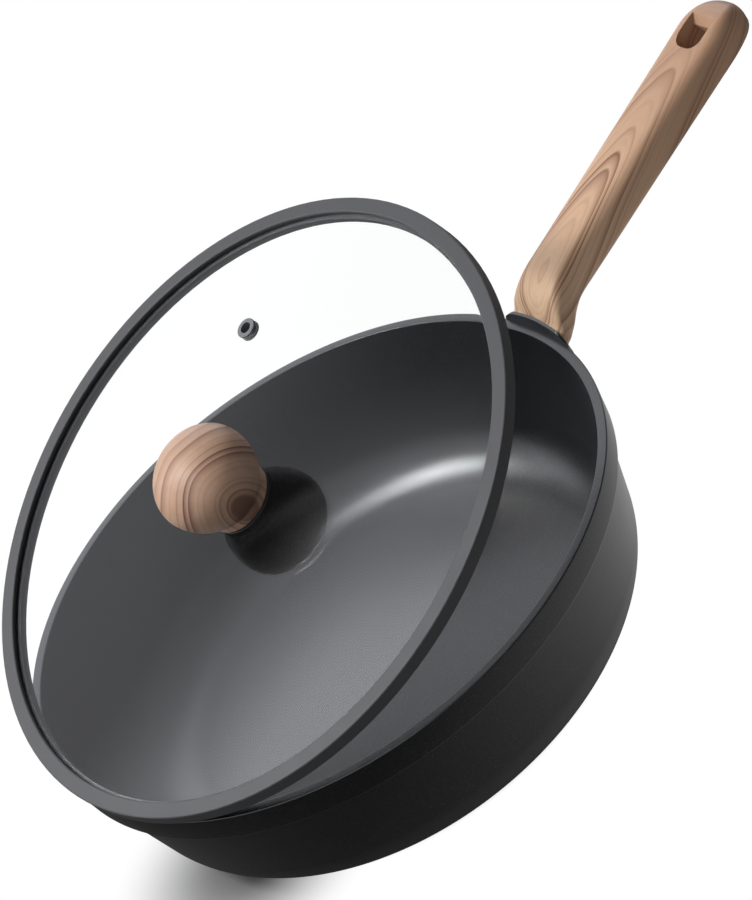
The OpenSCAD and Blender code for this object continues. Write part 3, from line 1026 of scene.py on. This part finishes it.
def distance(tree, place, middle):
    """Distance of a place from a fixed point."""
    return node(
        tree, "VectorMath", {0: place, 1: middle}, operation="DISTANCE"
    ).outputs["Value"]


def product(tree, first, *others):
    """All the values multiplied."""
    for other in others:
        first = calc(tree, "MULTIPLY", first, other)
    return first


def ray_kinds(tree):
    """Masks for the rays that see the backdrop, also through glass, for mirrored rays, for
    diffuse rays and for mirrored rays that come through the glass, and the backdrop's white,
    which makes up for what the glass's two faces turn away."""
    path = node(tree, "LightPath").outputs
    bounced = calc(tree, "MINIMUM", path["Glossy Depth"], 1.0)
    through = path["Is Transmission Ray"]
    straight = product(tree, through, calc(tree, "SUBTRACT", 1.0, bounced))
    in_glass = product(tree, through, bounced)
    return {
        "seen": calc(tree, "MAXIMUM", path["Is Camera Ray"], straight),
        "mirrored": calc(tree, "MAXIMUM", path["Is Glossy Ray"], in_glass),
        "diffuse": path["Is Diffuse Ray"],
        "in_glass": in_glass,
        "backdrop": calc(tree, "MULTIPLY_ADD", straight, 0.08, 1.0),
    }


floor_paint, tree, shader = new_material(
    "floor_paint",
    Base_Color=(painted_shadow_grey, painted_shadow_grey, painted_shadow_grey, 1),
    Roughness=0.9,
    Specular_IOR_Level=0.0,
)
rays = ray_kinds(tree)
place = node(tree, "TexCoord").outputs["Object"]
across = node(tree, "SeparateXYZ", {"Vector": place}).outputs["X"]
from_middle = distance(tree, place, (0, 0, 0))
from_shadow = distance(tree, place, shadow_middle)
# Painted shadow: a ring round the base and a patch at the side away from the handle, where the floor
# is grey; elsewhere it is bare
painted_contact_shadow = fade(tree, from_middle, contact_start, contact_end, 1.0, 0.0)
side = fade(tree, from_shadow, shadow_start, shadow_end, 1.0, 0.0)
bare = calc(tree, "SUBTRACT", 1.0, calc(tree, "MAXIMUM", painted_contact_shadow, side))
white = product(tree, rays["seen"], bare)
# Where bare, the floor glows to diffuse light and lights the object from below
floor_glow = product(tree, rays["diffuse"], bare)
far = fade(tree, from_middle, 0.5, 1.2, 0.06, 0.6)
handle_side = product(
    tree,
    fade(tree, across, -130 * mm, 170 * mm, 0.1, 0.75),
    fade(tree, from_middle, 105 * mm, 140 * mm),
    fade(tree, from_middle, 240 * mm, 360 * mm, 1.0, 0.1),
)
# To mirrors the floor glows, grey far out and light beside the handle
mirrored = product(tree, rays["mirrored"], calc(tree, "MAXIMUM", far, handle_side))
shown = product(tree, rays["seen"], rays["backdrop"])
unseen = calc(tree, "MULTIPLY_ADD", floor_glow, floor_glow_strength, mirrored)
light = calc(tree, "MAXIMUM", shown, unseen)
plain = node(tree, "Emission", {"Color": (1, 1, 1, 1), "Strength": light})
share = calc(tree, "MAXIMUM", calc(tree, "MAXIMUM", white, rays["mirrored"]), floor_glow)
both = node(
    tree, "MixShader", {0: share, 1: shader.outputs[0], 2: plain.outputs[0]}
)
show(tree, both)
floor = new_piece("floor", floor_plane, floor_paint)


# Soft studio light: one softbox high at the left, and a white tent round the pan. The tent is
# bright low down and at its left and back, and mirrors see it brighter, with a glow overhead.

key_place = Vector((-0.62, 0.4, 1.2))
key_aim = Vector((0, 0, 50 * mm))
key_size = 0.4
key_power = 15

lamp = bpy.data.lights.new("key_softbox", "AREA")
lamp.size = key_size
lamp.energy = key_power
key = bpy.data.objects.new("key_softbox", lamp)
bpy.context.scene.collection.objects.link(key)
key.location = key_place
key.rotation_mode = "QUATERNION"
key.rotation_quaternion = (key_place - key_aim).to_track_quat("Z", "Y")
key.visible_camera = False

# Strengths of the tent, to diffuse light and to mirrors. What is mirrored by the bowl and then
# seen through the glass is dimmed by a share.
low_light = 0.36
low_mirrored = 0.9
high_light = 0.05
panel_light = 0.75
panel_mirrored = 2.2
overhead = (-0.33, 0.14, 0.935)
overhead_light = 13.0
glass_shade = 0.62

world = bpy.data.worlds.new("studio")
bpy.context.scene.world = world
world.use_nodes = True
tree = world.node_tree
tree.nodes.clear()
rays = ray_kinds(tree)
direction = node(tree, "TexCoord").outputs["Generated"]
parts = node(tree, "SeparateXYZ", {"Vector": direction}).outputs


def for_mirrors(plain, mirrored):
    """A strength that is plain for diffuse light and another for mirrors."""
    return calc(tree, "MULTIPLY_ADD", rays["mirrored"], mirrored - plain, plain)


# Places in the tent are parts of a unit direction, so they run from -1 to 1
low = product(
    tree,
    for_mirrors(low_light, low_mirrored),
    fade(tree, parts["X"], -0.35, -0.85, 1.0, 0.6),
)
tent = fade(tree, parts["Z"], 0.05, 0.42, low, high_light)
back = fade(tree, parts["Y"], 0.3, 0.65)
glow = product(tree, back, fade(tree, parts["Z"], 0.62, 0.72, 0.65, 0.1))
back_panel = product(
    tree,
    fade(tree, parts["X"], -0.1, 0.12),
    back,
    fade(tree, parts["Z"], 0.5, 0.64, 1.08, 1.5),
)
# The left panel ends at the back in a slanted edge
beside = calc(tree, "MINIMUM", calc(tree, "ADD", parts["X"], 0.33), 0.0)
corner = calc(tree, "MULTIPLY_ADD", beside, 2.0, parts["Y"])
left_light = for_mirrors(panel_light, panel_mirrored)
left_panel = product(
    tree,
    fade(tree, parts["X"], -0.12, -0.26, 0.0, left_light),
    fade(tree, corner, 0.658, 0.73, 1.0, 0.05),
    fade(tree, parts["Z"], 0.12, 0.42),
)
panels = calc(tree, "ADD", left_panel, calc(tree, "ADD", back_panel, glow))
dimmed = calc(tree, "MULTIPLY_ADD", rays["in_glass"], -glass_shade, 1.0)
from_above = distance(tree, direction, overhead)
above = product(tree, fade(tree, from_above, 0.1, 0.3, overhead_light, 0.0), rays["mirrored"])
room = calc(tree, "MULTIPLY_ADD", calc(tree, "ADD", tent, panels), dimmed, above)
strength = node(
    tree, "MapRange", {"Value": rays["seen"], "To Min": room, "To Max": rays["backdrop"]}
).outputs[0]
colour = blend_colours(tree, rays["seen"], (0.98, 0.99, 1.05), (1, 1, 1))
sky = node(tree, "Background", {"Color": colour, "Strength": strength})
node(tree, "OutputWorld", {"Surface": sky.outputs[0]})


# The camera stands where the photograph's did, from ellipses fitted to the rim, the base and
# the lid. It looks a little down on the pan and is rolled, so that the grip points up.

camera_turn = math.radians(-104.2)
camera_height = math.radians(33.5)
camera_roll = math.radians(-37.28)
camera_aim = Vector((60.42, 33.72, 71.78)) * mm
camera_distance = 1788.3 * mm
focal_pixels = 4000
picture_height = 900
sensor_height = 24

camera = bpy.data.objects.new("camera", bpy.data.cameras.new("camera"))
bpy.context.scene.collection.objects.link(camera)
camera.data.sensor_fit = "VERTICAL"
camera.data.sensor_height = sensor_height
camera.data.lens = sensor_height * focal_pixels / picture_height
camera.data.clip_start = 0.01
turned = (
    Matrix.Rotation(camera_turn + math.pi / 2, 4, "Z")
    @ Matrix.Rotation(math.pi / 2 - camera_height, 4, "X")
    @ Matrix.Rotation(camera_roll, 4, "Z")
)
camera.matrix_world = (
    Matrix.Translation(camera_aim)
    @ turned
    @ Matrix.Translation((0, 0, camera_distance))
)
bpy.context.scene.camera = camera
bpy.context.scene.view_settings.view_transform = "Standard"
